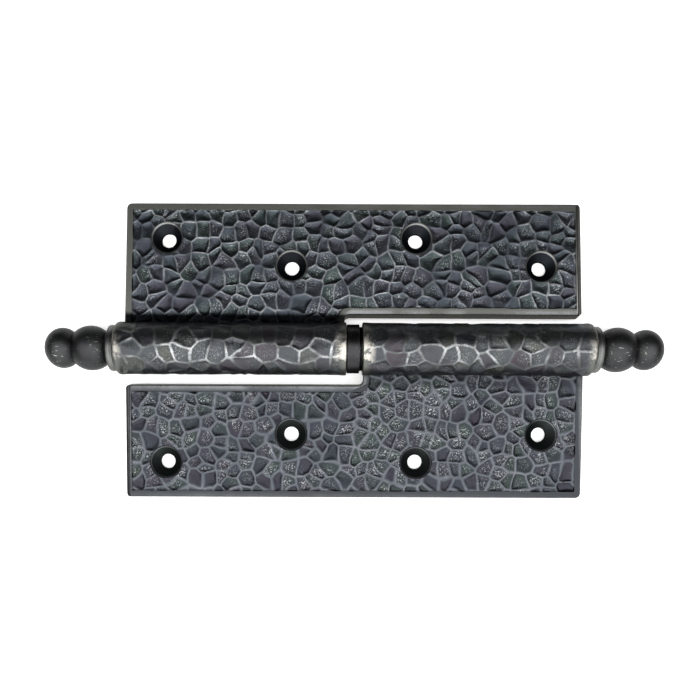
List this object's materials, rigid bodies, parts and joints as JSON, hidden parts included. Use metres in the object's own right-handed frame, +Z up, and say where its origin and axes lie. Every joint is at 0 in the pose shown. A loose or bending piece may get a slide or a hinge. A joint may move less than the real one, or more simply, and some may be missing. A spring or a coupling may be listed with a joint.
{
  "type": "lift-off door hinge",
  "caption": "Lift-off door hinge with two hammered leaves, a round pin, a bearing ring and turned double-ball tips; carries a door that swings and lifts off.",
  "frame": {"origin": "middle of the hinge on the surface it lies on, under the pin's axis", "axes": "+X along the pin, the way the door half lifts off; +Y towards the frame leaf; +Z up from the leaves' backs to their faces"},
  "size_m": [0.187, 0.0904, 0.016],
  "materials": {
    "hammered_iron": "cast, hammered, blackened and waxed, ridges worn to grey",
    "turned_tip": "turned, blackened, satin",
    "black_ring": "turned and blacked, smooth",
    "bright_steel": "ground steel, lightly oiled"
  },
  "bodies": {
    "frame_half": {"frame_leaf": "hammered_iron", "hinge_pin": "bright_steel", "frame_ball_tip": "turned_tip"},
    "ring_set": {"bearing_ring": "black_ring", "thrust_washer": "black_ring"},
    "door_half": {"door_leaf": "hammered_iron", "door_ball_tip": "turned_tip"}
  },
  "joints": [
    {"name": "swing", "type": "hinge", "parent": "frame_half", "child": "ring_set", "pos_m": [0, 0, 0.008], "axis": [1, 0, 0], "range_deg": [-186, 115]},
    {"name": "lift_off", "type": "slide", "parent": "ring_set", "child": "door_half", "axis": [1, 0, 0], "range_m": [0, 0.06]}
  ]
}
